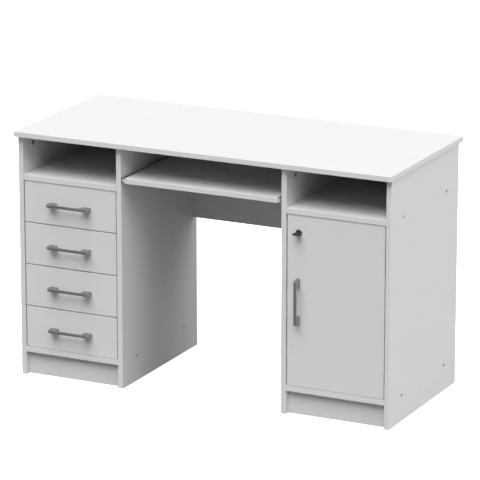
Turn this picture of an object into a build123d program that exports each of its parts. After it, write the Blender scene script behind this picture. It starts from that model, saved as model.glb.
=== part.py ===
from build123d import *
import os

# Writing desk with two pedestals: four drawers on the left, a locked cupboard on the right, an open
# niche over each, and a keyboard tray that pulls out over the kneehole. Millimetres, +Z up. The origin
# is on the floor at the centre of the whole footprint, handles included, and the front faces -Y.

# ---- overall sizes ----
DESK_WIDTH = 1240.0        # desktop, left to right
DESK_DEPTH = 545.0         # desktop, front to back
DESK_HEIGHT = 770.0        # floor to the desktop's upper face
BOARD = 16.0               # laminated particle board
EDGE_RADIUS = 0.8          # rounding of the banded edges

# ---- carcass ----
SIDE_DEPTH = 502.0         # vertical panels, front to back
OVERHANG_FRONT = 18.0      # desktop past the panels' front edges
OVERHANG_SIDE = 5.0        # desktop past the outer panels
PEDESTAL_WIDTH = 350.0     # over the outer faces of a pedestal
NICHE_HEIGHT = 120.0       # clear height of the open niches
PLINTH_HEIGHT = 74.0
PLINTH_SETBACK = 18.0
BACK_THICKNESS = 3.0       # hardboard backs and drawer bottoms
BACK_MARGIN = 2.0          # back panel inside the pedestal's outline
MODESTY_HEIGHT = 329.0
MODESTY_INSET = 14.0       # from the panels' rear edges
CUPBOARD_SHELF_DEPTH = 440.0
CUPBOARD_SHELF_GAP = 1.0   # each side of the loose shelf
CUPBOARD_SHELF_Z = 340.0   # underside of the loose shelf
CUPBOARD_SHELF_BACK_GAP = 5.0
PIN_FROM_ENDS = 50.0       # shelf pins from the shelf's front and back

# ---- drawer fronts and door ----
DRAWER_COUNT = 4
FRONT_GAP = 3.0            # round each front
FRONT_RECESS = 2.0         # fronts behind the panels' front edges
BOX_SIDE = 12.0            # drawer box boards
BOX_LENGTH = 440.0
BOX_RISE = 14.0            # box's lower edge above the front's lower edge
BOX_DROP = 25.0            # box's upper edge below the front's upper edge
GROOVE_RISE = 8.0
GROOVE_DEPTH = 6.0
GROOVE_PLAY = 0.2
CUT = 1.0                  # how far a cutting body runs past the face it opens

# ---- drawer and tray slides ----
SLIDE_SPACE = 12.5         # between a panel and what slides
SLIDE_OUTER = 10.0         # depth of the fixed channel
SLIDE_METAL = 1.4
SLIDE_PLAY = 0.4           # running gap between the two channels
RUNNER_BEHIND = 1.2        # room behind the running channel
DRAWER_SLIDE_START = 1.0   # drawer channels behind the fronts' inner faces
DRAWER_SLIDE_HEIGHT = 35.0
TRAY_SLIDE_HEIGHT = 18.0
SLIDE_CORNER = 2.4

# ---- keyboard tray ----
TRAY_DEPTH = 350.0
TRAY_TOP_DROP = 92.5       # desktop's underside down to the tray's upper face
TRAY_SLIDE_LENGTH = 340.0
TRAY_SLIDE_START = 1.0     # slides behind the tray's front edge

# ---- handles ----
HANDLE_HOLES = 128.0       # between the two screws
HANDLE_LENGTH = 143.0
HANDLE_PROJECTION = 28.0
HANDLE_WIDTH = 9.0
HANDLE_BAR = 6.0           # thickness of the grip, front to back
HANDLE_FOOT = 27.0         # length of each foot on the front, from the handle's end
HANDLE_FOOT_SLOPE = 1.5    # the feet's inner ends lean by this
HANDLE_SCREW = 4.0         # M4
HANDLE_SCREW_HEAD = 8.0
HANDLE_SCREW_HEAD_HEIGHT = 2.4
HANDLE_BORE_SPARE = 2.0    # bore past the screw's point
HANDLE_SCREW_GRIP = 9.0    # thread inside the foot

# ---- joinery ----
SCREW_FRONT = 90.0         # first confirmat behind the panel's front edge
SCREW_REAR = 92.0          # second one before the rear edge
MODESTY_SCREW_RISE = 50.0  # modesty panel's lower screw above its lower edge
MODESTY_SCREW_DROP = 90.0  # its upper screw below the desktop
CONFIRMAT_SHANK = 7.0
CONFIRMAT_CORE = 5.0
CONFIRMAT_HEAD = 10.0
CONFIRMAT_HEAD_HEIGHT = 3.5
CONFIRMAT_LENGTH = 50.0
CONFIRMAT_SOCKET = 4.0
CONFIRMAT_SOCKET_DEPTH = 2.5
BORE_PLAY = 0.2            # bore over its screw or dowel, on the diameter
CAM_DIAMETER = 15.0
CAM_DEPTH = 12.5
CAM_DROP = 34.0            # cam's centre below the desktop's underside
CAM_FRONT = 63.0           # cam's centre behind the panel's front edge
CAM_BOLT = 6.0
CAM_BOLT_HEAD = 7.0
CAM_BOLT_IN_TOP = 11.0
CAM_BOLT_HEAD_RISE = 4.0   # top of the bolt's head above the cam's centre
CAM_BOLT_HEAD_LENGTH = 3.5
CAM_BOLT_NECK = 3.0        # end of the bolt's shank above the cam's centre
CAM_CHANNEL_PLAY = 1.0     # bolt's channel over the bolt's head
CAM_CROSS = (8.0, 1.2, 1.5)    # length, width, depth of the driving cross
DOWEL = 8.0
DOWEL_LENGTH = 30.0
DOWEL_IN_THIN = 10.0       # part of the dowel in the board it meets face on
DOWEL_FRONT = 140.0        # dowel behind the panel's front edge
PLINTH_DOWELS = (0.25, 0.75)   # along the plinth, as shares of its length

# ---- cupboard door, hinges and lock ----
CUP_DIAMETER = 35.0
CUP_DEPTH = 11.5
CUP_WALL = 1.0
CUP_EDGE = 5.0             # board left between the cup and the door's edge
CUP_INSET = 90.0           # cup's centre from the door's upper and lower ends
CUP_PLAY = 0.2
CUP_EAR_REACH = 26.0       # ears that screw to the door's back, from the cup's centre
CUP_EAR_WIDTH = 14.0
CUP_EAR_THICKNESS = 1.2
HINGE_FROM_EDGE = 5.0      # door's turning axis in from its corner, both ways
LINK_PIVOT = (-19.0, -3.0)     # arm's pivot, in X from the turning axis, in Y from the door's back
LINK_ELBOW = (6.4, -4.5)   # link's bend and foot from the pivot
LINK_FOOT = (15.3, -6.0)
LINK_THICKNESS = 1.7
LINK_WIDTH = 9.6
LINK_EYE_WALL = 1.275      # round the pin
PIVOT_PIN = 2.0
PIVOT_PLAY = 0.12          # on the diameter
ARM_CHEEK = 1.2
ARM_NOSE = 0.6             # arm's nose behind the link's eye
ARM_CRANK = (11.0, 6.0)    # crank's inner corner from the pivot and from the nose
ARM_SEAT = (9.0, 13.0)     # arm's height off the plate at its rear end and at the crank
ARM_SEAT_START = 13.0      # crank's outer corner behind the plate's front end
ARM_BACK = 8.0             # arm's back behind its nose, at the pivot
HINGE_PLATE_HEIGHT = 6.0   # off the panel
HINGE_PLATE_START = 32.0   # behind the panel's front edge
HINGE_PLATE_LENGTH = 46.0
HINGE_PLATE_LINE = 53.0    # screw line behind the panel's front edge
HINGE_RAIL_WIDTH = 13.0
HINGE_WING = (12.0, 2.5)   # width, thickness of the wings that the screws hold
LOCK_FROM_PANEL = 40.0     # lock's centre from the inner panel
LOCK_DROP = 55.0           # lock's centre below the niche shelf
LOCK_BODY = 18.0
LOCK_ROSE = 22.0
LOCK_ROSE_THICKNESS = 2.0
LOCK_ROSE_ROUNDING = 1.2
LOCK_BEHIND = 4.0          # housing past the door's back
PLUG_DIAMETER = 11.0
PLUG_PLAY = 0.1            # on the diameter
TONGUE_WIDTH = 10.0
TONGUE_THICKNESS = 2.5
TONGUE_ENTRY = 5.0         # into the panel when locked
TONGUE_PLAY = 1.0          # round the tongue in its mortise
KEY_PROJECTION = 28.0      # off the door's face
KEY_BOW = (24.0, 22.0, 6.0)    # width, length, thickness
KEY_BLADE = (6.0, 1.4)     # width, thickness
KEY_ENTRY = 15.0           # blade inside the plug
KEY_PLAY = 0.2
KEY_CORNER = 9.0           # bow's corners, seen from above
PIN_DIAMETER = 5.0
PIN_IN_PANEL = 8.0
PIN_LEDGE = 12.0
PIN_BORE_SPARE = 0.5


def block(x0, x1, y0, y1, z0, z1):
    """A box between two corners."""
    return Pos((x0 + x1) / 2, (y0 + y1) / 2, (z0 + z1) / 2) * Box(x1 - x0, y1 - y0, z1 - z0)


def rod(start, direction, radius, length):
    """A round bar from start along direction."""
    return Plane(origin=start, z_dir=direction) * Cylinder(
        radius, length, align=(Align.CENTER, Align.CENTER, Align.MIN)
    )


def soften(board, face_axis, radius=EDGE_RADIUS):
    """Rounds the edges of the face that looks furthest along face_axis, as a banded edge is."""
    sign = 1 if face_axis[0] == "+" else -1
    axis = {"X": Axis.X, "Y": Axis.Y, "Z": Axis.Z}[face_axis[1]]
    face = board.faces().sort_by(axis)[-1 if sign > 0 else 0]
    return fillet(face.edges(), radius)


def save(name, *solids):
    """Writes one sub-part, a single solid or a group of like ones."""
    shape = solids[0] if len(solids) == 1 else Compound(children=list(solids))
    export_step(shape, f"parts/{name}.step")


os.makedirs("parts", exist_ok=True)

# ---- places worked out from the sizes ----
PROUD = max(0.0, max(HANDLE_PROJECTION, KEY_PROJECTION) - OVERHANG_FRONT - FRONT_RECESS)
DESK_FRONT = -DESK_DEPTH / 2 + PROUD / 2
DESK_BACK = DESK_FRONT + DESK_DEPTH
SIDE_FRONT = DESK_FRONT + OVERHANG_FRONT
SIDE_BACK = SIDE_FRONT + SIDE_DEPTH
FACE_Y = SIDE_FRONT + FRONT_RECESS            # outer face of drawers and door
FACE_BACK = FACE_Y + BOARD
UNDERSIDE = DESK_HEIGHT - BOARD
NICHE_FLOOR = UNDERSIDE - NICHE_HEIGHT        # upper face of the niche shelf
SHELF_Z = NICHE_FLOOR - BOARD
BOTTOM_TOP = PLINTH_HEIGHT + BOARD
OUTER_X = DESK_WIDTH / 2 - OVERHANG_SIDE      # outer face of an outer panel, either side
INNER_X = OUTER_X - PEDESTAL_WIDTH            # kneehole face of an inner panel
CELL_OUT = OUTER_X - BOARD                    # clear space of a pedestal, between the panels
CELL_IN = INNER_X + BOARD
CELL_WIDTH = CELL_OUT - CELL_IN
DRAWER_PITCH = (SHELF_Z - BOTTOM_TOP) / DRAWER_COUNT
FRONT_HEIGHT = DRAWER_PITCH - FRONT_GAP
BOX_HEIGHT = FRONT_HEIGHT - BOX_RISE - BOX_DROP
SCREW_YS = (SIDE_FRONT + SCREW_FRONT, SIDE_BACK - SCREW_REAR)
CAM_YS = (SIDE_FRONT + CAM_FRONT, SIDE_BACK - CAM_FRONT)
DOWEL_YS = (SIDE_FRONT + DOWEL_FRONT, SIDE_BACK - DOWEL_FRONT)
SCREW_ZS = (PLINTH_HEIGHT + BOARD / 2, SHELF_Z + BOARD / 2)
MODESTY_BACK = SIDE_BACK - MODESTY_INSET
MODESTY_FRONT = MODESTY_BACK - BOARD
MODESTY_BOTTOM = UNDERSIDE - MODESTY_HEIGHT
MODESTY_SCREW_ZS = (MODESTY_BOTTOM + MODESTY_SCREW_RISE, UNDERSIDE - MODESTY_SCREW_DROP)
MODESTY_SCREW_Y = MODESTY_BACK - BOARD / 2
LOCK_X = CELL_IN + LOCK_FROM_PANEL
LOCK_Z = SHELF_Z - LOCK_DROP


def confirmat(x, y, z, way):
    """A confirmat screw whose head is sunk in the face at x and whose point goes along way, +1 or -1 in X."""
    ahead = (way, 0, 0)
    head = Plane(origin=(x, y, z), z_dir=ahead) * Cone(
        CONFIRMAT_HEAD / 2,
        CONFIRMAT_SHANK / 2,
        CONFIRMAT_HEAD_HEIGHT,
        align=(Align.CENTER, Align.CENTER, Align.MIN),
    )
    shank = rod((x, y, z), ahead, CONFIRMAT_SHANK / 2, BOARD)
    core = rod((x, y, z), ahead, CONFIRMAT_CORE / 2, CONFIRMAT_LENGTH)
    socket = Plane(origin=(x, y, z), z_dir=ahead) * extrude(
        RegularPolygon(CONFIRMAT_SOCKET / 2, 6), CONFIRMAT_SOCKET_DEPTH
    )
    return head + shank + core - socket


def confirmat_bore(x, y, z, way):
    """The stepped and countersunk bore that takes a confirmat screw."""
    ahead = (way, 0, 0)
    head = Plane(origin=(x, y, z), z_dir=ahead) * Cone(
        (CONFIRMAT_HEAD + BORE_PLAY) / 2,
        (CONFIRMAT_SHANK + BORE_PLAY) / 2,
        CONFIRMAT_HEAD_HEIGHT,
        align=(Align.CENTER, Align.CENTER, Align.MIN),
    )
    shank = rod((x, y, z), ahead, (CONFIRMAT_SHANK + BORE_PLAY) / 2, BOARD)
    core = rod((x, y, z), ahead, (CONFIRMAT_CORE + BORE_PLAY) / 2, CONFIRMAT_LENGTH + CUT)
    return head + shank + core


# Every confirmat as (x of the head's face, y, z, way): four through each vertical panel, from the
# outside on the outer panels and from the kneehole on the inner ones, and four for the modesty panel.
confirmats = []
for side in (-1, 1):
    for y in SCREW_YS:
        for z in SCREW_ZS:
            confirmats.append((side * OUTER_X, y, z, -side))
            confirmats.append((side * INNER_X, y, z, side))
    for z in MODESTY_SCREW_ZS:
        confirmats.append((side * CELL_IN, MODESTY_SCREW_Y, z, -side))

# Cam fittings pull the desktop down on the panels: (x of the cam's open face, y, way into the board).
cams = []
for side in (-1, 1):
    for y in CAM_YS:
        cams.append((side * CELL_OUT, y, side))
        cams.append((side * CELL_IN, y, -side))
panel_mids = [side * x for side in (-1, 1) for x in (OUTER_X - BOARD / 2, INNER_X + BOARD / 2)]


def cam_housing(x, y, way):
    """A round cam with a driving cross in its face and a radial bore for the bolt's head."""
    z = UNDERSIDE - CAM_DROP
    housing = rod((x, y, z), (way, 0, 0), CAM_DIAMETER / 2, CAM_DEPTH)
    length, width, depth = CAM_CROSS
    bar = Box(2 * depth, width, length)
    cross = Pos(x, y, z) * (bar + Rot(90, 0, 0) * bar)
    mid = x + way * BOARD / 2
    return housing - cross - rod((mid, y, z), (0, 0, 1), (CAM_BOLT_HEAD + BORE_PLAY) / 2, CAM_DIAMETER)


def cam_bolt(x, y, way):
    """The bolt that hangs from the desktop and ends in the cam."""
    mid = x + way * BOARD / 2
    reach = CAM_BOLT_IN_TOP + CAM_DROP - CAM_BOLT_NECK
    shank = rod((mid, y, UNDERSIDE + CAM_BOLT_IN_TOP), (0, 0, -1), CAM_BOLT / 2, reach)
    head_z = UNDERSIDE - CAM_DROP + CAM_BOLT_HEAD_RISE
    head = rod((mid, y, head_z), (0, 0, -1), CAM_BOLT_HEAD / 2, CAM_BOLT_HEAD_LENGTH)
    return shank + head


def cam_bores(x, y, way):
    """The cam's pocket and the bolt's channel from the panel's top edge."""
    mid = x + way * BOARD / 2
    z = UNDERSIDE - CAM_DROP
    pocket = rod((x, y, z), (way, 0, 0), (CAM_DIAMETER + BORE_PLAY) / 2, CAM_DEPTH)
    return pocket + rod((mid, y, z), (0, 0, 1), (CAM_BOLT_HEAD + CAM_CHANNEL_PLAY) / 2, CAM_DROP + CUT)


# ---- wooden dowels: panels to desktop, plinths to bottom boards ----
dowel_in_edge = DOWEL_LENGTH - DOWEL_IN_THIN
dowels = [(x, y, UNDERSIDE) for x in panel_mids for y in DOWEL_YS]
PLINTH_FRONT = SIDE_FRONT + PLINTH_SETBACK
for side in (-1, 1):
    for share in PLINTH_DOWELS:
        dowels.append((side * (CELL_IN + share * CELL_WIDTH), PLINTH_FRONT + BOARD / 2, PLINTH_HEIGHT))


def dowel(x, y, z, play=0.0):
    """A dowel standing across the joint at height z, mostly in the board below it."""
    return rod((x, y, z - dowel_in_edge - play), (0, 0, 1), (DOWEL + play) / 2, DOWEL_LENGTH + 2 * play)


save("wood_dowels", *[dowel(*d) for d in dowels])
save("confirmat_screws", *[confirmat(*c) for c in confirmats])
save("cam_fittings", *[cam_housing(*c) for c in cams], *[cam_bolt(*c) for c in cams])


# ---- loose shelf in the cupboard and its four pins: (x of the panel's face, y, way into the cupboard) ----
CUP_SHELF_BACK = SIDE_BACK - CUPBOARD_SHELF_BACK_GAP
CUP_SHELF_FRONT = CUP_SHELF_BACK - CUPBOARD_SHELF_DEPTH
shelf_pins = []
for y in (CUP_SHELF_FRONT + PIN_FROM_ENDS, CUP_SHELF_BACK - PIN_FROM_ENDS):
    shelf_pins.append((CELL_IN, y, 1))
    shelf_pins.append((CELL_OUT, y, -1))


def shelf_pin(x, y, way, play=0.0, ledge=PIN_LEDGE):
    """A steel pin in the panel, its top touching the loose shelf."""
    start = (x - way * (PIN_IN_PANEL + play), y, CUPBOARD_SHELF_Z - PIN_DIAMETER / 2)
    return rod(start, (way, 0, 0), (PIN_DIAMETER + play) / 2, PIN_IN_PANEL + play + ledge)


def tongue_mortise():
    """The slot in the inner panel that the lock's tongue turns into from below."""
    reach = LOCK_FROM_PANEL + TONGUE_ENTRY
    drop = (reach**2 - LOCK_FROM_PANEL**2) ** 0.5 + TONGUE_WIDTH / 2
    y0 = FACE_BACK + LOCK_BEHIND
    return block(
        CELL_IN - TONGUE_ENTRY - TONGUE_PLAY,
        CELL_IN + CUT,
        y0 - TONGUE_PLAY,
        y0 + TONGUE_THICKNESS + TONGUE_PLAY,
        LOCK_Z - drop - TONGUE_PLAY,
        LOCK_Z + TONGUE_WIDTH / 2 + TONGUE_PLAY,
    )


def drilled(board, with_cams=False):
    """The board with every fixing bore that reaches it."""
    box = board.bounding_box()

    def reaches(shape):
        b = shape.bounding_box()
        return all(
            lo < hi
            for lo, hi in (
                (max(box.min.X, b.min.X), min(box.max.X, b.max.X)),
                (max(box.min.Y, b.min.Y), min(box.max.Y, b.max.Y)),
                (max(box.min.Z, b.min.Z), min(box.max.Z, b.max.Z)),
            )
        )

    bores = [confirmat_bore(*c) for c in confirmats] + [dowel(*d, play=BORE_PLAY) for d in dowels]
    bores += [shelf_pin(*p, play=BORE_PLAY, ledge=PIN_BORE_SPARE) for p in shelf_pins]
    if with_cams:
        bores += [cam_bores(*c) for c in cams]
    for bore in bores:
        if reaches(bore):
            board = board - bore
    return board


# ---- desktop ----
desktop = block(-DESK_WIDTH / 2, DESK_WIDTH / 2, DESK_FRONT, DESK_BACK, UNDERSIDE, DESK_HEIGHT)
desktop = fillet(desktop.edges(), EDGE_RADIUS)
for x, y, way in cams:
    desktop = desktop - rod(
        (x + way * BOARD / 2, y, UNDERSIDE), (0, 0, 1), (CAM_BOLT + BORE_PLAY) / 2, CAM_BOLT_IN_TOP
    )
save("desktop", drilled(desktop))

# ---- four vertical panels ----
for side, word in ((-1, "left"), (1, "right")):
    outer = block(*sorted((side * CELL_OUT, side * OUTER_X)), SIDE_FRONT, SIDE_BACK, 0, UNDERSIDE)
    inner = block(*sorted((side * INNER_X, side * CELL_IN)), SIDE_FRONT, SIDE_BACK, 0, UNDERSIDE)
    if word == "right":
        inner = inner - tongue_mortise()
    save(f"side_{word}_outer", drilled(soften(outer, "-Y"), with_cams=True))
    save(f"side_{word}_inner", drilled(soften(inner, "-Y"), with_cams=True))

# ---- shelves, bottoms, plinths and backs of the two pedestals ----
for side, word in ((-1, "left"), (1, "right")):
    xs = sorted((side * CELL_IN, side * CELL_OUT))
    shelf = block(*xs, SIDE_FRONT, SIDE_BACK, SHELF_Z, NICHE_FLOOR)
    bottom = block(*xs, SIDE_FRONT, SIDE_BACK, PLINTH_HEIGHT, BOTTOM_TOP)
    plinth = block(*xs, PLINTH_FRONT, PLINTH_FRONT + BOARD, 0, PLINTH_HEIGHT)
    back_xs = sorted((side * (INNER_X + BACK_MARGIN), side * (OUTER_X - BACK_MARGIN)))
    back_zs = (PLINTH_HEIGHT + BACK_MARGIN, UNDERSIDE - BACK_MARGIN)
    back = block(*back_xs, SIDE_BACK, SIDE_BACK + BACK_THICKNESS, *back_zs)
    save(f"niche_shelf_{word}", drilled(shelf))
    save(f"bottom_{word}", drilled(bottom))
    save(f"plinth_{word}", drilled(plinth))
    save(f"back_{word}", back)

# ---- modesty panel across the kneehole ----
modesty = block(-INNER_X, INNER_X, MODESTY_FRONT, MODESTY_BACK, MODESTY_BOTTOM, UNDERSIDE)
save("modesty_panel", drilled(modesty))

# ---- loose shelf in the cupboard, on four pins ----
cup_shelf = block(
    CELL_IN + CUPBOARD_SHELF_GAP,
    CELL_OUT - CUPBOARD_SHELF_GAP,
    CUP_SHELF_FRONT,
    CUP_SHELF_BACK,
    CUPBOARD_SHELF_Z,
    CUPBOARD_SHELF_Z + BOARD,
)
save("cupboard_shelf", soften(cup_shelf, "-Y"))
save("shelf_pins", *[shelf_pin(*p) for p in shelf_pins])


# ---- slides: a fixed channel on the panel and a running channel inside it ----
def channel(panel_x, way, y0, length, z, height):
    """The fixed channel, screwed to the panel at panel_x, open along way."""
    xs = sorted((panel_x, panel_x + way * SLIDE_OUTER))
    shell = block(*xs, y0, y0 + length, z - height / 2, z + height / 2)
    long_edges = shell.edges().filter_by(Axis.Y).sort_by(Axis.X)
    shell = fillet(long_edges[:2] if way > 0 else long_edges[-2:], SLIDE_CORNER)
    inside = block(
        *sorted((panel_x + way * SLIDE_METAL, panel_x + way * (SLIDE_OUTER + CUT))),
        y0 - CUT,
        y0 + length + CUT,
        z - height / 2 + SLIDE_METAL,
        z + height / 2 - SLIDE_METAL,
    )
    return shell - inside


def runner(panel_x, way, y0, length, z, height):
    """The running channel, fixed to the drawer or tray, that lies in the fixed one."""
    half = height / 2 - SLIDE_METAL - SLIDE_PLAY
    near = panel_x + way * (SLIDE_METAL + RUNNER_BEHIND)
    far = panel_x + way * SLIDE_SPACE
    shell = block(*sorted((near, far)), y0, y0 + length, z - half, z + half)
    inside = block(
        *sorted((near - way * CUT, far - way * SLIDE_METAL)),
        y0 - CUT,
        y0 + length + CUT,
        z - half + SLIDE_METAL,
        z + half - SLIDE_METAL,
    )
    return shell - inside


left_x0, left_x1 = -CELL_OUT, -CELL_IN
lowest_front = BOTTOM_TOP + FRONT_GAP / 2
front_zs = [lowest_front + (DRAWER_COUNT - 1 - number) * DRAWER_PITCH for number in range(DRAWER_COUNT)]
slide_zs = [z + BOX_RISE + BOX_HEIGHT / 2 for z in front_zs]
slide_channels = [
    channel(x, way, FACE_BACK + DRAWER_SLIDE_START, BOX_LENGTH, z, DRAWER_SLIDE_HEIGHT)
    for x, way in ((left_x0, 1), (left_x1, -1))
    for z in slide_zs
]


# ---- handles ----
def handle():
    """A bridge handle along X, its feet on the plane Y = 0 and its grip towards -Y."""
    half = HANDLE_LENGTH / 2
    out = HANDLE_PROJECTION
    inside = half - HANDLE_FOOT
    grip_end = half - HANDLE_FOOT / 10
    grip_back = out - HANDLE_BAR
    points = [(-half, 0), (-grip_end, -out), (grip_end, -out), (half, 0)]
    points += [(inside, 0), (inside - HANDLE_FOOT_SLOPE, -grip_back)]
    points += [(HANDLE_FOOT_SLOPE - inside, -grip_back), (-inside, 0)]
    outline = make_face(Polyline(*points, close=True))
    outline = fillet([v for v in outline.vertices() if v.Y < 0], HANDLE_BAR / 2)
    body = Pos(0, 0, -HANDLE_WIDTH / 2) * extrude(outline, HANDLE_WIDTH)
    rims = body.faces().filter_by(Axis.Z)
    long_edges = [e for face in rims for e in face.edges() if e.center().Y < -CUT]
    body = fillet(long_edges, HANDLE_WIDTH / 6)
    for x in (-HANDLE_HOLES / 2, HANDLE_HOLES / 2):
        bore = (HANDLE_SCREW + BORE_PLAY) / 2
        body = body - rod((x, 0, 0), (0, -1, 0), bore, HANDLE_SCREW_GRIP + HANDLE_BORE_SPARE)
    return body


def handle_screw(x, z):
    """A pan head screw from inside a front into a handle's foot."""
    head = rod((x, FACE_BACK, z), (0, 1, 0), HANDLE_SCREW_HEAD / 2, HANDLE_SCREW_HEAD_HEIGHT)
    return head + rod((x, FACE_BACK, z), (0, -1, 0), HANDLE_SCREW / 2, BOARD + HANDLE_SCREW_GRIP)


# ---- four drawers ----
box_x0, box_x1 = left_x0 + SLIDE_SPACE, left_x1 - SLIDE_SPACE
mid_x = (left_x0 + left_x1) / 2
for number in range(DRAWER_COUNT):
    name = number + 1
    front_z = front_zs[number]
    handle_z = front_z + FRONT_HEIGHT / 2
    front_xs = (left_x0 + FRONT_GAP, left_x1 - FRONT_GAP)
    front = block(*front_xs, FACE_Y, FACE_BACK, front_z, front_z + FRONT_HEIGHT)
    front = fillet(front.edges(), EDGE_RADIUS)
    screw_xs = (mid_x - HANDLE_HOLES / 2, mid_x + HANDLE_HOLES / 2)
    for x in screw_xs:
        front = front - rod((x, FACE_Y, handle_z), (0, 1, 0), (HANDLE_SCREW + BORE_PLAY) / 2, BOARD)
    save(f"drawer_{name}_front", front)

    z0 = front_z + BOX_RISE
    groove = block(
        box_x0 + BOX_SIDE - GROOVE_DEPTH - GROOVE_PLAY / 2,
        box_x1 - BOX_SIDE + GROOVE_DEPTH + GROOVE_PLAY / 2,
        FACE_BACK - CUT,
        FACE_BACK + BOX_LENGTH + CUT,
        z0 + GROOVE_RISE,
        z0 + GROOVE_RISE + BACK_THICKNESS + GROOVE_PLAY,
    )
    sides = [
        block(x, x + BOX_SIDE, FACE_BACK, FACE_BACK + BOX_LENGTH, z0, z0 + BOX_HEIGHT) - groove
        for x in (box_x0, box_x1 - BOX_SIDE)
    ]
    save(f"drawer_{name}_sides", *sides)
    back = block(
        box_x0 + BOX_SIDE,
        box_x1 - BOX_SIDE,
        FACE_BACK + BOX_LENGTH - BOX_SIDE,
        FACE_BACK + BOX_LENGTH,
        z0 + GROOVE_RISE + BACK_THICKNESS + GROOVE_PLAY,
        z0 + BOX_HEIGHT,
    )
    save(f"drawer_{name}_back", back)
    bottom = block(
        box_x0 + BOX_SIDE - GROOVE_DEPTH,
        box_x1 - BOX_SIDE + GROOVE_DEPTH,
        FACE_BACK,
        FACE_BACK + BOX_LENGTH,
        z0 + GROOVE_RISE,
        z0 + GROOVE_RISE + BACK_THICKNESS,
    )
    save(f"drawer_{name}_bottom", bottom)
    z = slide_zs[number]
    save(
        f"drawer_{name}_runners",
        runner(left_x0, 1, FACE_BACK, BOX_LENGTH, z, DRAWER_SLIDE_HEIGHT),
        runner(left_x1, -1, FACE_BACK, BOX_LENGTH, z, DRAWER_SLIDE_HEIGHT),
    )
    save(f"drawer_{name}_handle", Pos(mid_x, FACE_Y, handle_z) * handle())
    save(f"drawer_{name}_handle_screws", *[handle_screw(x, handle_z) for x in screw_xs])

# ---- keyboard tray ----
TRAY_TOP = UNDERSIDE - TRAY_TOP_DROP
TRAY_FRONT = SIDE_FRONT
tray = block(
    -INNER_X + SLIDE_SPACE,
    INNER_X - SLIDE_SPACE,
    TRAY_FRONT,
    TRAY_FRONT + TRAY_DEPTH,
    TRAY_TOP - BOARD,
    TRAY_TOP,
)
save("keyboard_tray", fillet(tray.edges(), EDGE_RADIUS))
tray_z = TRAY_TOP - BOARD / 2
tray_slide = (TRAY_FRONT + TRAY_SLIDE_START, TRAY_SLIDE_LENGTH, tray_z, TRAY_SLIDE_HEIGHT)
slide_channels += [channel(-INNER_X, 1, *tray_slide), channel(INNER_X, -1, *tray_slide)]
save("tray_runners", runner(-INNER_X, 1, *tray_slide), runner(INNER_X, -1, *tray_slide))
save("slide_channels", *slide_channels)

# ---- cupboard door ----
door_x0, door_x1 = CELL_IN + FRONT_GAP, CELL_OUT - FRONT_GAP
door_z0, door_z1 = BOTTOM_TOP + FRONT_GAP / 2, SHELF_Z - FRONT_GAP / 2
cup_x = door_x1 - CUP_EDGE - CUP_DIAMETER / 2
cup_zs = (door_z0 + CUP_INSET, door_z1 - CUP_INSET)
door_mid = (door_z0 + door_z1) / 2
door = fillet(block(door_x0, door_x1, FACE_Y, FACE_BACK, door_z0, door_z1).edges(), EDGE_RADIUS)
for z in cup_zs:
    door = door - rod((cup_x, FACE_BACK, z), (0, -1, 0), (CUP_DIAMETER + CUP_PLAY) / 2, CUP_DEPTH)
door = door - rod((LOCK_X, FACE_Y, LOCK_Z), (0, 1, 0), (LOCK_BODY + BORE_PLAY) / 2, BOARD)
door_screw_zs = (door_mid - HANDLE_HOLES / 2, door_mid + HANDLE_HOLES / 2)
for z in door_screw_zs:
    door = door - rod((LOCK_X, FACE_Y, z), (0, 1, 0), (HANDLE_SCREW + BORE_PLAY) / 2, BOARD)
save("door", door)
save("door_handle", Pos(LOCK_X, FACE_Y, door_mid) * Rot(0, 90, 0) * handle())
save("door_handle_screws", *[handle_screw(LOCK_X, z) for z in door_screw_zs])


# ---- concealed hinges: cup in the door, bent link, arm on a plate on the outer panel ----
def hinge_cup(z):
    """A pressed cup sunk in the door's back, with two ears that screw to it."""
    radius = (CUP_DIAMETER - CUP_PLAY) / 2
    shell = rod((cup_x, FACE_BACK, z), (0, -1, 0), radius, CUP_DEPTH)
    ears = block(
        cup_x - CUP_EAR_WIDTH / 2,
        cup_x + CUP_EAR_WIDTH / 2,
        FACE_BACK,
        FACE_BACK + CUP_EAR_THICKNESS,
        z - CUP_EAR_REACH,
        z + CUP_EAR_REACH,
    )
    hollow = rod((cup_x, FACE_BACK + CUP_EAR_THICKNESS, z), (0, -1, 0), radius - CUP_WALL, CUP_DEPTH)
    return shell + ears - hollow


def strip(start, end, z0, z1):
    """A flat strip between two points of the plan, with round ends."""
    (x0, y0), (x1, y1) = start, end
    middle = Pos((x0 + x1) / 2, (y0 + y1) / 2, (z0 + z1) / 2)
    angle = Vector(1, 0, 0).get_signed_angle(Vector(x1 - x0, y1 - y0, 0), Vector(0, 0, 1))
    body = middle * Rot(0, 0, angle) * Box(Vector(x1 - x0, y1 - y0, 0).length, LINK_THICKNESS, z1 - z0)
    for x, y in (start, end):
        body = body + rod((x, y, z0), (0, 0, 1), LINK_THICKNESS / 2, z1 - z0)
    return body


TURN_X = door_x1 - HINGE_FROM_EDGE
pivot_x, pivot_y = TURN_X + LINK_PIVOT[0], FACE_BACK + LINK_PIVOT[1]
elbow = (pivot_x + LINK_ELBOW[0], pivot_y + LINK_ELBOW[1])
foot = (pivot_x + LINK_FOOT[0], pivot_y + LINK_FOOT[1])
eye_radius = PIVOT_PIN / 2 + LINK_EYE_WALL


def hinge_link(z):
    """The bent link: an eye on the arm's pin, an elbow, and a foot that lies in the cup."""
    z0, z1 = z - LINK_WIDTH / 2, z + LINK_WIDTH / 2
    body = strip((pivot_x, pivot_y), elbow, z0, z1) + strip(elbow, foot, z0, z1)
    body = body + rod((pivot_x, pivot_y, z0), (0, 0, 1), eye_radius, LINK_WIDTH)
    return body - rod((pivot_x, pivot_y, z0), (0, 0, 1), (PIVOT_PIN + PIVOT_PLAY) / 2, LINK_WIDTH)


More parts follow.
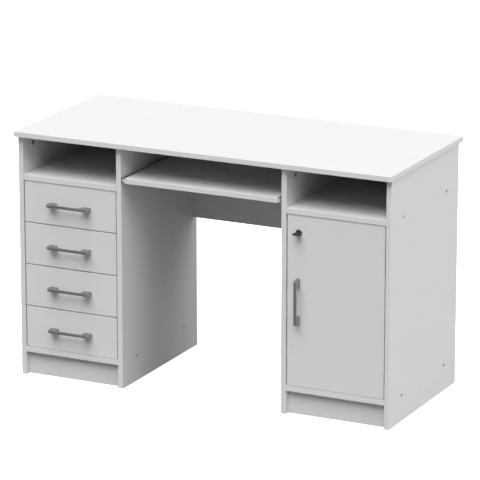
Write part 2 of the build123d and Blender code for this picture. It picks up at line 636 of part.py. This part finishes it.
def hinge_arm(z):
    """The cranked arm from the plate to the pivot, with two cheeks and a pin through the link's eye."""
    half = LINK_WIDTH / 2 + PIVOT_PLAY + ARM_CHEEK
    seat = CELL_OUT - HINGE_PLATE_HEIGHT
    start = SIDE_FRONT + HINGE_PLATE_START
    end = start + HINGE_PLATE_LENGTH
    nose = pivot_y + eye_radius + ARM_NOSE
    points = [
        (pivot_x - eye_radius, nose),
        (pivot_x + eye_radius, nose),
        (pivot_x + ARM_CRANK[0], nose + ARM_CRANK[1]),
        (seat, start),
        (seat, end),
        (seat - ARM_SEAT[0], end),
        (seat - ARM_SEAT[1], start + ARM_SEAT_START),
        (pivot_x - eye_radius, nose + ARM_BACK),
    ]
    body = Pos(0, 0, z - half) * extrude(make_face(Polyline(*points, close=True)), 2 * half)
    for z0 in (z - half, z + half - ARM_CHEEK):
        cheek = block(pivot_x - eye_radius, pivot_x + eye_radius, pivot_y, nose, z0, z0 + ARM_CHEEK)
        body = body + cheek + rod((pivot_x, pivot_y, z0), (0, 0, 1), eye_radius, ARM_CHEEK)
    return body + rod((pivot_x, pivot_y, z - half), (0, 0, 1), PIVOT_PIN / 2, 2 * half)


def hinge_plate(z):
    """The cross-shaped mounting plate on the outer panel."""
    start = SIDE_FRONT + HINGE_PLATE_START
    line = SIDE_FRONT + HINGE_PLATE_LINE
    rail = block(
        CELL_OUT - HINGE_PLATE_HEIGHT,
        CELL_OUT,
        start,
        start + HINGE_PLATE_LENGTH,
        z - HINGE_RAIL_WIDTH / 2,
        z + HINGE_RAIL_WIDTH / 2,
    )
    wing_width, wing_thickness = HINGE_WING
    wings = block(
        CELL_OUT - wing_thickness,
        CELL_OUT,
        line - wing_width / 2,
        line + wing_width / 2,
        z - CUP_EAR_REACH,
        z + CUP_EAR_REACH,
    )
    return rail + wings


save("hinge_cups", *[hinge_cup(z) for z in cup_zs])
save("hinge_links", *[hinge_link(z) for z in cup_zs])
save("hinge_arms", *[hinge_arm(z) for z in cup_zs])
save("hinge_plates", *[hinge_plate(z) for z in cup_zs])

# ---- cylinder lock with its key ----
rose_y = FACE_Y - LOCK_ROSE_THICKNESS
tail_y = FACE_BACK + LOCK_BEHIND
housing = rod((LOCK_X, tail_y, LOCK_Z), (0, -1, 0), LOCK_BODY / 2, tail_y - FACE_Y)
rose = rod((LOCK_X, FACE_Y, LOCK_Z), (0, -1, 0), LOCK_ROSE / 2, LOCK_ROSE_THICKNESS)
rose = fillet(rose.edges().sort_by(Axis.Y)[0], LOCK_ROSE_ROUNDING)
plug_bore = rod((LOCK_X, tail_y, LOCK_Z), (0, -1, 0), (PLUG_DIAMETER + PLUG_PLAY) / 2, tail_y - rose_y)
save("lock_housing", housing + rose - plug_bore)

tongue_reach = LOCK_FROM_PANEL + TONGUE_ENTRY
tongue_tip_z = LOCK_Z - tongue_reach + TONGUE_WIDTH / 2
plug = rod((LOCK_X, tail_y, LOCK_Z), (0, -1, 0), PLUG_DIAMETER / 2, tail_y - rose_y)
tongue = block(
    LOCK_X - TONGUE_WIDTH / 2,
    LOCK_X + TONGUE_WIDTH / 2,
    tail_y,
    tail_y + TONGUE_THICKNESS,
    tongue_tip_z,
    LOCK_Z,
)
for z in (tongue_tip_z, LOCK_Z):
    tongue = tongue + rod((LOCK_X, tail_y, z), (0, 1, 0), TONGUE_WIDTH / 2, TONGUE_THICKNESS)
blade_width, blade_thickness = KEY_BLADE
slot = block(
    LOCK_X - (blade_width + KEY_PLAY) / 2,
    LOCK_X + (blade_width + KEY_PLAY) / 2,
    rose_y - CUT,
    rose_y + KEY_ENTRY + KEY_PLAY,
    LOCK_Z - (blade_thickness + KEY_PLAY) / 2,
    LOCK_Z + (blade_thickness + KEY_PLAY) / 2,
)
save("lock_plug", plug + tongue - slot)

bow_width, bow_length, bow_thickness = KEY_BOW
bow_y = FACE_Y - KEY_PROJECTION
bow = block(
    LOCK_X - bow_width / 2,
    LOCK_X + bow_width / 2,
    bow_y,
    bow_y + bow_length,
    LOCK_Z - bow_thickness / 2,
    LOCK_Z + bow_thickness / 2,
)
bow = fillet(bow.edges().filter_by(Axis.Z), KEY_CORNER)
bow_rims = bow.edges().filter_by(GeomType.LINE, reverse=True) + bow.edges().filter_by(Axis.X)
bow = fillet(bow_rims, bow_thickness / 4)
blade = block(
    LOCK_X - blade_width / 2,
    LOCK_X + blade_width / 2,
    bow_y + bow_length / 2,
    rose_y + KEY_ENTRY,
    LOCK_Z - blade_thickness / 2,
    LOCK_Z + blade_thickness / 2,
)
save("lock_key", bow + blade)
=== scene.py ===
import math

import bmesh
import bpy
import numpy as np
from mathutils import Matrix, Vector


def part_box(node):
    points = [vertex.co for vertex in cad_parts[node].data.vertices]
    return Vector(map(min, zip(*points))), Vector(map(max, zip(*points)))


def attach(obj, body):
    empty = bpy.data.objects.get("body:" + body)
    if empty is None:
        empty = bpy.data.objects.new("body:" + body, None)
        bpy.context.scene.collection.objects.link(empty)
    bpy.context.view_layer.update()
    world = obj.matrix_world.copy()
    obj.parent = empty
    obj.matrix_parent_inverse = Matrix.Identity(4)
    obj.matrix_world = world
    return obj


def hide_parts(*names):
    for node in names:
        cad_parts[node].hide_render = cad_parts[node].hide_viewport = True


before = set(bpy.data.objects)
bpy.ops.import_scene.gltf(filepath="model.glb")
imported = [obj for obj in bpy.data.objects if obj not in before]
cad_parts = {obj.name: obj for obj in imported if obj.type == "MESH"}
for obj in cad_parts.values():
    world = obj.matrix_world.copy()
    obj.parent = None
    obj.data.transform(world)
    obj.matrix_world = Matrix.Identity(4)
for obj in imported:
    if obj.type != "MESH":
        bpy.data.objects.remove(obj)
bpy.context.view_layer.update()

# ---- camera ----
# A long lens from the front right, looking down on the desktop, with no roll.
CAMERA_PLACE = (4.4018, -8.9886, 3.2565)
CAMERA_TURN = 0.45465        # radians, towards the desk from its right
CAMERA_TILT = -0.2744        # radians, looking down
LENS = 257.4

camera_data = bpy.data.cameras.new("camera")
camera_data.lens = LENS
camera_data.sensor_width = 36.0
camera_data.clip_end = 60.0
camera = bpy.data.objects.new("camera", camera_data)
camera.location = CAMERA_PLACE
camera.rotation_euler = (math.pi / 2 + CAMERA_TILT, 0.0, CAMERA_TURN)
bpy.context.scene.collection.objects.link(camera)
bpy.context.scene.camera = camera


# ---- white boards ----
# Particle board of 16 mm faced on both sides with white melamine paper, pressed against a finely
# textured plate, with a thin plastic band glued to each edge that shows.
MM = 0.001


def linear(colour):
    """An sRGB hex colour as linear red, green, blue, alpha."""
    parts = [int(colour[i : i + 2], 16) / 255 for i in (1, 3, 5)]
    return tuple(c / 12.92 if c <= 0.04045 else ((c + 0.055) / 1.055) ** 2.4 for c in parts) + (1.0,)


def add(tree, kind, links=None, **settings):
    """Adds one node to tree. Keyword arguments set its properties, and links maps each of its inputs to a
    value or to another node's output."""
    node = tree.nodes.new(kind)
    for name, value in settings.items():
        setattr(node, name, value)
    for name, value in (links or {}).items():
        if isinstance(value, bpy.types.NodeSocket):
            tree.links.new(value, node.inputs[name])
        else:
            node.inputs[name].default_value = value
    return node


def new_material(name, **surface):
    """A material with one Principled shader, its uniform values set on its own sockets. Returns the
    material, its tree and the shader."""
    material = bpy.data.materials.new(name)
    material.use_nodes = True
    tree = material.node_tree
    tree.nodes.clear()
    shader = add(tree, "ShaderNodeBsdfPrincipled", surface)
    add(tree, "ShaderNodeOutputMaterial", {"Surface": shader.outputs["BSDF"]})
    return material, tree, shader


def grain_of(tree, size_mm, stretch=(1, 1, 1), detail=3.0):
    """Noise with a grain of a real size, drawn out along an axis where stretch is below 1."""
    place = add(tree, "ShaderNodeTexCoord").outputs["Object"]
    drawn_out = add(tree, "ShaderNodeMapping", {"Vector": place, "Scale": stretch}).outputs["Vector"]
    settings = {"Vector": drawn_out, "Scale": 1 / (size_mm * MM), "Detail": detail}
    return add(tree, "ShaderNodeTexNoise", settings).outputs["Fac"]


def mottled(tree, shader, dark, light, size_mm, stretch=(1, 1, 1)):
    """Colour that drifts between two close shades over patches of a real size."""
    mix = add(tree, "ShaderNodeMix", {"Factor": grain_of(tree, size_mm, stretch)}, data_type="RGBA")
    mix.inputs[6].default_value = linear(dark)
    mix.inputs[7].default_value = linear(light)
    tree.links.new(mix.outputs[2], shader.inputs["Base Color"])


def uneven_sheen(tree, shader, low, high, size_mm, stretch=(1, 1, 1)):
    """Roughness that drifts between two values, as handling and pressing leave it."""
    fac = grain_of(tree, size_mm, stretch)
    spread = add(tree, "ShaderNodeMapRange", {"Value": fac, "To Min": low, "To Max": high})
    tree.links.new(spread.outputs["Result"], shader.inputs["Roughness"])


def embossed(tree, shader, size_mm, depth_mm, strength=0.5, stretch=(1, 1, 1)):
    """A fine relief in the surface, as a bump of a real grain size and depth."""
    fac = grain_of(tree, size_mm, stretch, 2.0)
    bump = add(tree, "ShaderNodeBump", {"Height": fac, "Distance": depth_mm * MM, "Strength": strength})
    tree.links.new(bump.outputs["Normal"], shader.inputs["Normal"])


def pearled(name, dark, light):
    """A hard, even, satin plastic face with a pressed pearl texture. The pearls are drawn at 2 mm, about
    twice their real size, so that they show."""
    material, tree, shader = new_material(name, IOR=1.5)
    mottled(tree, shader, dark, light, 45)
    uneven_sheen(tree, shader, 0.38, 0.5, 8)
    embossed(tree, shader, 2.0, 0.04, 0.6)
    return material


def cover(names, material):
    """Gives each named CAD node this material in every slot."""
    for name in names:
        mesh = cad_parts[name].data
        mesh.materials.clear()
        mesh.materials.append(material)


DRAWERS = range(1, 5)
board_white = pearled("melamine_pressed_white", "#d2d2d2", "#d6d6d6")
boards = ["desktop", "modesty_panel", "keyboard_tray", "door", "cupboard_shelf"]
boards += [f"side_{word}_{place}" for word in ("left", "right") for place in ("outer", "inner")]
boards += [f"{part}_{word}" for word in ("left", "right") for part in ("niche_shelf", "bottom", "plinth")]
boards += [f"drawer_{n}_front" for n in DRAWERS]
cover(boards, board_white)

# ---- drawer boxes and backs ----
# Drawer sides and backs are 12 mm board wrapped in white foil, a shade warmer than the melamine. Drawer
# bottoms and cabinet backs are 3 mm hardboard, lacquered a dull white over faint drawn-out fibres.
foil = pearled("foil_wrapped_white", "#cfcfcd", "#d4d4d2")
cover([f"drawer_{n}_{part}" for n in DRAWERS for part in ("sides", "back")], foil)
hardboard, tree, shader = new_material("hardboard_lacquered_white", IOR=1.5)
mottled(tree, shader, "#c9c8c4", "#d2d1cd", 14, (1, 1, 0.3))
uneven_sheen(tree, shader, 0.42, 0.58, 10)
embossed(tree, shader, 1.6, 0.06, 0.6, (1, 1, 0.3))
cover(["back_left", "back_right"] + [f"drawer_{n}_bottom" for n in DRAWERS], hardboard)

# ---- fixings ----
# Confirmat screws, shelf pins and handle screws are cold-formed steel with bright zinc plating. The cams
# and their bolts are die-cast zinc, raw, greyer and duller. The dowels are turned beech, its grain along
# them.
def plated(name, dark, light, smooth, rough, size_mm=6.0, stretch=(1, 1, 1)):
    """Plated metal: its colour clouds a little and its sheen is broken by fine marks, along one axis
    where stretch is below 1."""
    material, tree, shader = new_material(name, Metallic=1.0)
    mottled(tree, shader, dark, light, size_mm, stretch)
    uneven_sheen(tree, shader, smooth, rough, size_mm / 4, stretch)
    embossed(tree, shader, size_mm / 12, 0.01, 0.5, stretch)
    return material


zinc_plated = plated("steel_zinc_plated", "#9a9da0", "#b4b6b8", 0.3, 0.45)
cast_zinc = plated("zinc_die_cast", "#8c8d8f", "#a3a4a6", 0.45, 0.6)
cover(["confirmat_screws", "shelf_pins", "door_handle_screws"], zinc_plated)
cover([f"drawer_{n}_handle_screws" for n in DRAWERS], zinc_plated)
cover(["cam_fittings"], cast_zinc)
beech, tree, shader = new_material("beech_turned")
mottled(tree, shader, "#b88d5c", "#d0aa78", 2, (1, 1, 0.15))
uneven_sheen(tree, shader, 0.5, 0.7, 2)
cover(["wood_dowels"], beech)

# ---- nails of the cabinet backs ----
# Small flat-headed steel nails hold each hardboard back, about every 90 mm round its edge. Their heads
# stand 0.5 mm proud of the hardboard.
SHARP_ANGLE = 35             # degrees; an edge that turns more than this stays crisp


def solid(name, points, faces, material, body, slot):
    """One closed piece from points in metres, its faces turned outwards, riding on body."""
    mesh = bpy.data.meshes.new(name)
    mesh.from_pydata(np.asarray(points).tolist(), [], faces)
    worked = bmesh.new()
    worked.from_mesh(mesh)
    bmesh.ops.recalc_face_normals(worked, faces=worked.faces)
    worked.to_mesh(mesh)
    worked.free()
    mesh.materials.append(material)
    piece = bpy.data.objects.new(name, mesh)
    bpy.context.scene.collection.objects.link(piece)
    mesh.shade_smooth()
    mesh.set_sharp_from_angle(angle=math.radians(SHARP_ANGLE))
    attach(piece, body)
    return piece


def ring_faces(rings, around, closed=False):
    """The quads between rings of points, each ring closed. The first and last ring get a cap, or are
    joined to each other where closed."""
    count = rings if closed else rings - 1
    row, col = np.divmod(np.arange(count * around), around)
    after = (col + 1) % around
    here, below = row * around, (row + 1) % rings * around
    faces = np.stack([here + col, here + after, below + after, below + col], 1).tolist()
    if not closed:
        faces += [list(range(around))[::-1], list(range((rings - 1) * around, rings * around))]
    return faces


def turned(profile, steps):
    """Points and faces of a turned shape about Z: each (radius, height) of the profile is carried round a
    circle, so a point is (r cos a, r sin a, h)."""
    r, h = np.array(profile, float).T
    angle = np.linspace(0, 2 * np.pi, steps, endpoint=False)
    rings = [np.outer(r, np.cos(angle)), np.outer(r, np.sin(angle)), np.outer(h, np.ones(steps))]
    return np.stack(rings, -1).reshape(-1, 3), ring_faces(len(r), steps)


def repeated(shape, places, out):
    """Copies of a turned shape, standing at each place with its Z along the unit vector out."""
    points, faces = shape
    out = np.array(out, float)
    side = np.cross(out, (0.0, 0.0, 1.0) if abs(out[2]) < 0.9 else (1.0, 0.0, 0.0))
    frame_of = np.stack([side, np.cross(out, side), out])
    places = np.asarray(places, float)
    copies = (points @ frame_of)[None] * MM + places[:, None]
    shifted = [[i + k * len(points) for i in face] for k in range(len(places)) for face in faces]
    return copies.reshape(-1, 3), shifted


NAIL_SPACING = 0.09
NAIL_MARGIN = 0.009          # from a nail to the edge of the hardboard
# Radius and height in mm, from the shank up over the head.
NAIL_HEAD = [(0.7, -0.4), (1.5, 0.0), (1.6, 0.25), (1.2, 0.5), (0.3, 0.55)]
for word in ("left", "right"):
    low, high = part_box(f"back_{word}")
    across, _, up = [1 + round((high[k] - low[k]) / NAIL_SPACING) for k in range(3)]
    xs = np.linspace(low[0] + NAIL_MARGIN, high[0] - NAIL_MARGIN, across)
    zs = np.linspace(low[2] + NAIL_MARGIN, high[2] - NAIL_MARGIN, up)
    places = [(x, high[1], z) for x in xs for z in (zs[0], zs[-1])]
    places += [(x, high[1], z) for x in (xs[0], xs[-1]) for z in zs[1:-1]]
    points, faces = repeated(turned(NAIL_HEAD, 12), places, (0, 1, 0))
    solid(f"back_nails_{word}", points, faces, zinc_plated, "carcass", "fixing_steel")

# ---- slides ----
# Cold-rolled steel channels, zinc-plated, bright with fine rolling lines along them. A dull grey stop
# moulded in polypropylene closes the front end of each keyboard runner.
slide_steel = plated("steel_rolled_zinc_plated", "#a9acaf", "#bfc2c4", 0.25, 0.4, 10.0, (1, 0.1, 1))
cover(["slide_channels", "tray_runners"] + [f"drawer_{n}_runners" for n in DRAWERS], slide_steel)


def rounded(corners, radii, steps=6):
    """A closed outline whose corners are arcs: each arc touches both sides at radius / tan(half the
    inner angle) from the corner, and turns from one side's direction to the other's."""
    corners = np.array(corners, float)
    ahead = np.roll(corners, -1, 0) - corners
    ahead /= np.linalg.norm(ahead, axis=1, keepdims=True)
    back = -np.roll(ahead, 1, 0)
    half = np.arccos(np.clip((ahead * back).sum(1), -1, 1)) / 2
    radii = np.array(radii, float)
    middle = ahead + back
    middle /= np.linalg.norm(middle, axis=1, keepdims=True)
    centre = corners + middle * (radii / np.sin(half))[:, None]
    start = corners + back * (radii / np.tan(half))[:, None] - centre
    end = corners + ahead * (radii / np.tan(half))[:, None] - centre
    share = np.linspace(0, 1, steps)[None, :, None]
    arc = start[:, None] * (1 - share) + end[:, None] * share
    arc *= radii[:, None, None] / np.maximum(np.linalg.norm(arc, axis=2, keepdims=True), 1e-9)
    return (centre[:, None] + arc).reshape(-1, 2)


def plate(outline, thickness, edge, steps=5):
    """An outline carried through a thickness with rounded rims: ring k is the outline drawn in along its
    normals by edge x (1 - cos a), at a height of half the thickness less edge x (1 - sin a)."""
    ahead = np.roll(outline, -1, 0) - np.roll(outline, 1, 0)
    normal = np.stack([ahead[:, 1], -ahead[:, 0]], 1)
    normal /= np.maximum(np.linalg.norm(normal, axis=1, keepdims=True), 1e-9)
    x, y = outline.T
    if (x * np.roll(y, -1) - y * np.roll(x, -1)).sum() < 0:
        normal = -normal
    angle = np.linspace(np.pi / 2, 0, steps)
    inset = edge * (1 - np.cos(angle))
    height = thickness / 2 - edge * (1 - np.sin(angle))
    inset, height = np.append(inset, inset[::-1]), np.append(height, -height[::-1])
    flat = outline[None] - normal[None] * inset[:, None, None]
    points = np.concatenate([flat, np.broadcast_to(height[:, None, None], flat.shape[:2] + (1,))], 2)
    return points.reshape(-1, 3), ring_faces(2 * steps, len(outline))


def set_in(shape, origin, first, second, third):
    """The shape's points in metres, its three axes laid along three unit vectors from origin."""
    points, faces = shape
    return np.asarray(origin) + points @ np.array([first, second, third], float) * MM, faces


stop_grey = pearled("polypropylene_moulded_grey", "#b9b9b8", "#c3c3c2")
runner_low, runner_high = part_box("tray_runners")
tray_low, tray_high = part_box("keyboard_tray")
STOP_HEIGHT = 11.0
STOP_LENGTH = 7.0
STOP_CORNER = 2.5
STOP_RIM = 1.0
STOP_PROUD = 0.4             # how far it stands out of the runner's front end
STOP_OFF_TRAY = 0.4          # its gap to the tray's end face
STOP_GAPS = 1.6              # that gap and the one to the runner's outer face together
stop_width = (tray_low[0] - runner_low[0]) / MM - STOP_GAPS
stop_half = STOP_HEIGHT / 2
stop_corners = [(0, -stop_half), (stop_width, -stop_half), (stop_width, stop_half), (0, stop_half)]
stop_shape = plate(rounded(stop_corners, [STOP_CORNER] * 4), STOP_LENGTH, STOP_RIM)
stop_y = runner_low[1] + (STOP_LENGTH / 2 - STOP_PROUD) * MM
stop_z = (runner_low[2] + runner_high[2]) / 2
for word, face, way in (("left", tray_low[0], -1), ("right", tray_high[0], 1)):
    middle = (face + way * STOP_OFF_TRAY * MM, stop_y, stop_z)
    shape = set_in(stop_shape, middle, (way, 0, 0), (0, 0, 1), (0, 1, 0))
    solid(f"tray_stop_{word}", *shape, stop_grey, "tray", "slide_steel")

# ---- hinges ----
# Concealed hinges pressed from steel and nickel-plated, bright and a little warm. A countersunk screw
# with a dished recess sits in each wing of the plate and each ear of the cup.
hinge_nickel = plated("steel_nickel_plated", "#a9a8a4", "#c0bfbb", 0.2, 0.35)
cover(["hinge_cups", "hinge_arms", "hinge_links", "hinge_plates"], hinge_nickel)
# Radius and height in mm, over the head and down into its recess.
SCREW_HEAD = [(1.2, -1.0), (3.4, 0.0), (3.5, 0.35), (2.6, 0.8), (1.5, 1.0), (1.2, 0.3), (0.3, 0.1)]
EAR_REACH = 0.026            # from a hinge's middle to the end of its cup's ears
SCREW_FROM_END = 0.0045
WING_FACE = 0.0025           # wings' face off the panel
WING_SCREW_BACK = 0.021      # from the plate's front edge to its screws
plate_low, plate_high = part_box("hinge_plates")
cup_low, cup_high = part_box("hinge_cups")
wing_places, ear_places = [], []
for z in (cup_low[2] + EAR_REACH, cup_high[2] - EAR_REACH):
    for way in (-1, 1):
        height = z + way * (EAR_REACH - SCREW_FROM_END)
        wing_places.append((plate_high[0] - WING_FACE, plate_low[1] + WING_SCREW_BACK, height))
        ear_places.append(((cup_low[0] + cup_high[0]) / 2, cup_high[1], height))
head = turned(SCREW_HEAD, 20)
solid("hinge_plate_screws", *repeated(head, wing_places, (-1, 0, 0)), zinc_plated, "carcass", "fixing_steel")
solid("hinge_cup_screws", *repeated(head, ear_places, (0, 1, 0)), zinc_plated, "door_leaf", "fixing_steel")

# ---- handles ----
# Bridge handles cast in zinc, satin nickel-plated and brushed along their length, which draws out the
# highlight on the grip. Each stands on two long feet, held by a screw from inside.
FOOT = 27.0                  # length of a foot along the handle
GRIP = 6.0                   # thickness of the grip
END_LEAN = 2.7               # how far each end leans in at the grip
FOOT_LEAN = 1.5              # how far each foot's inner side leans in at the grip
HANDLE_ROUNDING = 1.5
HANDLE_CORNERS = [1.7, 4.0, 4.0, 1.7, 1.7, 2.5, 2.5, 1.7]
low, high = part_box("drawer_1_handle")
half, out, handle_width = (high[0] - low[0]) / 2 / MM, (high[1] - low[1]) / MM, (high[2] - low[2]) / MM
handle_corners = [
    (-half, 0),
    (END_LEAN - half, out),
    (half - END_LEAN, out),
    (half, 0),
    (half - FOOT, 0),
    (half - FOOT - FOOT_LEAN, out - GRIP),
    (FOOT + FOOT_LEAN - half, out - GRIP),
    (FOOT - half, 0),
]
handle_shape = plate(rounded(handle_corners, HANDLE_CORNERS), handle_width, HANDLE_ROUNDING)


def satin_nickel(name, stretch):
    """Satin nickel over cast zinc: mid grey, its brushing lines drawn out along one axis."""
    return plated(name, "#8f9093", "#b0b1b4", 0.38, 0.55, 5.0, stretch)


nickel_across = satin_nickel("zinc_satin_nickel_brushed_across", (0.06, 1, 1))
nickel_upright = satin_nickel("zinc_satin_nickel_brushed_upright", (1, 1, 0.06))
cover([f"drawer_{n}_handle" for n in DRAWERS], nickel_across)
cover(["door_handle"], nickel_upright)
for n in DRAWERS:
    low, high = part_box(f"drawer_{n}_handle")
    foot = ((low[0] + high[0]) / 2, high[1], (low[2] + high[2]) / 2)
    shape = set_in(handle_shape, foot, (1, 0, 0), (0, -1, 0), (0, 0, 1))
    piece = solid(f"handle_drawer_{n}", *shape, nickel_across, f"drawer_{n}", "handle_metal")
    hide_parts(f"drawer_{n}_handle")
low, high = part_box("door_handle")
foot = ((low[0] + high[0]) / 2, high[1], (low[2] + high[2]) / 2)
shape = set_in(handle_shape, foot, (0, 0, 1), (0, -1, 0), (1, 0, 0))
piece = solid("handle_door", *shape, nickel_upright, "door_leaf", "handle_metal")
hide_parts("door_handle")

# ---- lock and key ----
# A cylinder lock of turned brass, nickel-plated dark grey, with a domed rosette that has a turned step
# round the plug. The key's bow is moulded in black ABS, which has a low even sheen, and it is hollowed
# for the thumb on both faces.
lock_nickel = plated("brass_dark_nickel_plated", "#7c7c7f", "#929295", 0.35, 0.5, 3.0)
cover(["lock_housing", "lock_plug"], lock_nickel)
low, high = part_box("lock_housing")
lock_x, lock_z = (low[0] + high[0]) / 2, (low[2] + high[2]) / 2
rose, length = (high[0] - low[0]) / 2 / MM, (high[1] - low[1]) / MM
ROSE_HEIGHT = 2.0
BODY = 9.0                   # radii of the part in the door and of the bore for the plug
BORE = 5.55
LOCK_STEPS = 64
housing_profile = [
    (BORE, 0),
    (BODY - 0.4, 0),
    (BODY, 0.4),
    (BODY, length - ROSE_HEIGHT),
    (rose - 0.3, length - ROSE_HEIGHT),
    (rose, length - ROSE_HEIGHT + 0.3),
    (rose - 0.4, length - 1.1),
    (rose - 1.6, length - 0.5),
    (rose - 3.2, length - 0.1),
    (BORE + 1.2, length),
    (BORE + 1.0, length - 0.35),
    (BORE + 0.2, length - 0.45),
    (BORE, length - 0.6),
]
points, _ = turned(housing_profile, LOCK_STEPS)
shape = (points, ring_faces(len(housing_profile), LOCK_STEPS, closed=True))
shape = repeated(shape, [(lock_x, high[1], lock_z)], (0, -1, 0))
piece = solid("lock_body", *shape, lock_nickel, "door_leaf", "lock_metal")
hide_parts("lock_housing")

key_black, tree, shader = new_material("abs_moulded_black", IOR=1.53)
mottled(tree, shader, "#060606", "#0c0c0d", 3)
uneven_sheen(tree, shader, 0.4, 0.55, 1.5)
embossed(tree, shader, 0.5, 0.02)
cover(["lock_key"], key_black)
key_steel = plated("steel_nickel_plated_key", "#9d9d9c", "#b5b5b3", 0.25, 0.4, 3.0, (1, 0.2, 1))
low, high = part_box("lock_key")
bow_width, bow_thick = (high[0] - low[0]) / MM, (high[2] - low[2]) / MM
BOW_LENGTH = 22.0
BOW_POWER = 3                # 2 would be an ellipse, and more is squarer
BOW_ROWS = 33
BOW_ROW_POWER = 0.6          # below 1, so that the rows are closer together near the rim
BOW_STEPS = 96
HOLLOW_DEPTH = 0.9
HOLLOW_REACH = 0.45
# The bow is one closed surface over two discs: a point at share s of the way out and angle a lies at
# s x the outline, a superellipse, and at a height of half the thickness x (1 - s^6)^0.5, less a thumb
# hollow of its depth x exp(-(s / its reach)^4).
share = np.linspace(0.0, 1.0, BOW_ROWS)[1:] ** BOW_ROW_POWER
angle = np.linspace(0, 2 * np.pi, BOW_STEPS, endpoint=False)
rim_x = np.sign(np.cos(angle)) * np.abs(np.cos(angle)) ** (2 / BOW_POWER) * bow_width / 2
rim_y = np.sign(np.sin(angle)) * np.abs(np.sin(angle)) ** (2 / BOW_POWER) * BOW_LENGTH / 2
rise = bow_thick / 2 * np.sqrt(1 - share**6) - HOLLOW_DEPTH * np.exp(-((share / HOLLOW_REACH) ** 4))
shares, rises = np.append(share, share[-2::-1]), np.append(rise, -rise[-2::-1])
layers = [np.outer(shares, rim_x), np.outer(shares, rim_y), np.outer(rises, np.ones(BOW_STEPS))]
bow_shape = np.stack(layers, -1).reshape(-1, 3), ring_faces(len(shares), BOW_STEPS)
bow_middle = (lock_x, low[1] + BOW_LENGTH / 2 * MM, lock_z)
shape = set_in(bow_shape, bow_middle, (1, 0, 0), (0, 1, 0), (0, 0, 1))
piece = solid("key_bow", *shape, key_black, "lock_core", "key_plastic")
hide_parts("lock_key")

# The blade is a bright strip of nickel-plated steel, stamped with cuts along both edges and tapered at
# its tip.
BLADE_HALF = 3.0
BLADE_THICK = 1.4
BLADE_RIM = 0.25
CUTS = [1.1, 0.5, 0.9, 0.3, 0.8]
CUT_SPACING = 2.4
CUTS_FROM_END = 13.0
TIP_LENGTH = 0.6
TIP_DEPTHS = [0.8, 1.8]
blade_end = (high[1] - bow_middle[1]) / MM
cut_ys = [blade_end - CUTS_FROM_END + CUT_SPACING * i for i in range(len(CUTS))]
along = [0.0] + cut_ys + [blade_end - TIP_LENGTH, blade_end]
edge = [(BLADE_HALF - depth, y) for depth, y in zip([0.0] + CUTS + TIP_DEPTHS, along)]
blade_shape = plate(np.array(edge + [(-x, y) for x, y in edge[::-1]]), BLADE_THICK, BLADE_RIM, 3)
shape = set_in(blade_shape, bow_middle, (1, 0, 0), (0, 1, 0), (0, 0, 1))
solid("key_blade", *shape, key_steel, "lock_core", "lock_metal")

# ---- floor and light ----
# A plain white studio floor. Three broad soft lights: one low from the right, a weaker one from behind,
# and one from the front, high enough for the desktop to leave the niches and the kneehole in shade. A
# fourth, wider one only puts the front light's shine on the pieces.
FLOOR_SIZE = 80.0


def studio_floor(name, height, colour, glow):
    """A flat square of floor at a height. glow is the light that it gives off."""
    mesh = bpy.data.meshes.new(name)
    h = FLOOR_SIZE / 2
    mesh.from_pydata([(-h, -h, height), (h, -h, height), (h, h, height), (-h, h, height)], [], [(0, 1, 2, 3)])
    paint, tree, shader = new_material(f"{name}_paint", Roughness=0.9)
    shader.inputs["Base Color"].default_value = linear(colour)
    shader.inputs["Emission Color"].default_value = linear(colour)
    shader.inputs["Emission Strength"].default_value = glow
    mesh.materials.append(paint)
    piece = bpy.data.objects.new(name, mesh)
    bpy.context.scene.collection.objects.link(piece)
    return piece


# The upper sheet is what is seen, white, and the lower one stands for it in the light that it sends back.
seen_floor = studio_floor("floor", 0.0, "#f4f4f4", 0.85)
seen_floor.visible_diffuse = False
seen_floor.visible_glossy = False
seen_floor.visible_shadow = False
returning_floor = studio_floor("floor_returning_light", -0.001, "#7c7c7c", 0.0)
returning_floor.visible_camera = False

ROOM_LIGHT = 0.06            # the even light that comes from all round
world = bpy.data.worlds.new("studio")
bpy.context.scene.world = world
world.use_nodes = True
room = world.node_tree.nodes["Background"]
room.inputs["Color"].default_value = (1, 1, 1, 1)
room.inputs["Strength"].default_value = ROOM_LIGHT


def broad_light(name, towards, width_degrees, strength):
    """A distant soft light that shines from the direction towards, as wide as width_degrees."""
    data = bpy.data.lights.new(name, "SUN")
    data.angle = math.radians(width_degrees)
    data.energy = strength
    lamp = bpy.data.objects.new(name, data)
    lamp.rotation_euler = Vector(towards).to_track_quat("Z", "Y").to_euler()
    bpy.context.scene.collection.objects.link(lamp)
    return lamp


HIGH_FRONT = (0.02, -0.47, 0.88)
broad_light("right", (0.93, 0.05, 0.36), 60, 2.4)
front_light = broad_light("front", HIGH_FRONT, 52, 4.1)
front_light.visible_glossy = False      # its shine comes from the wider one below
front_shine = broad_light("front_shine", HIGH_FRONT, 90, 2.2)
front_shine.visible_diffuse = False
rear_light = broad_light("rear", (-0.65, 0.70, 0.15), 60, 1.5)
rear_light.visible_glossy = False       # no glare on the desktop
bpy.context.scene.view_settings.view_transform = "Standard"
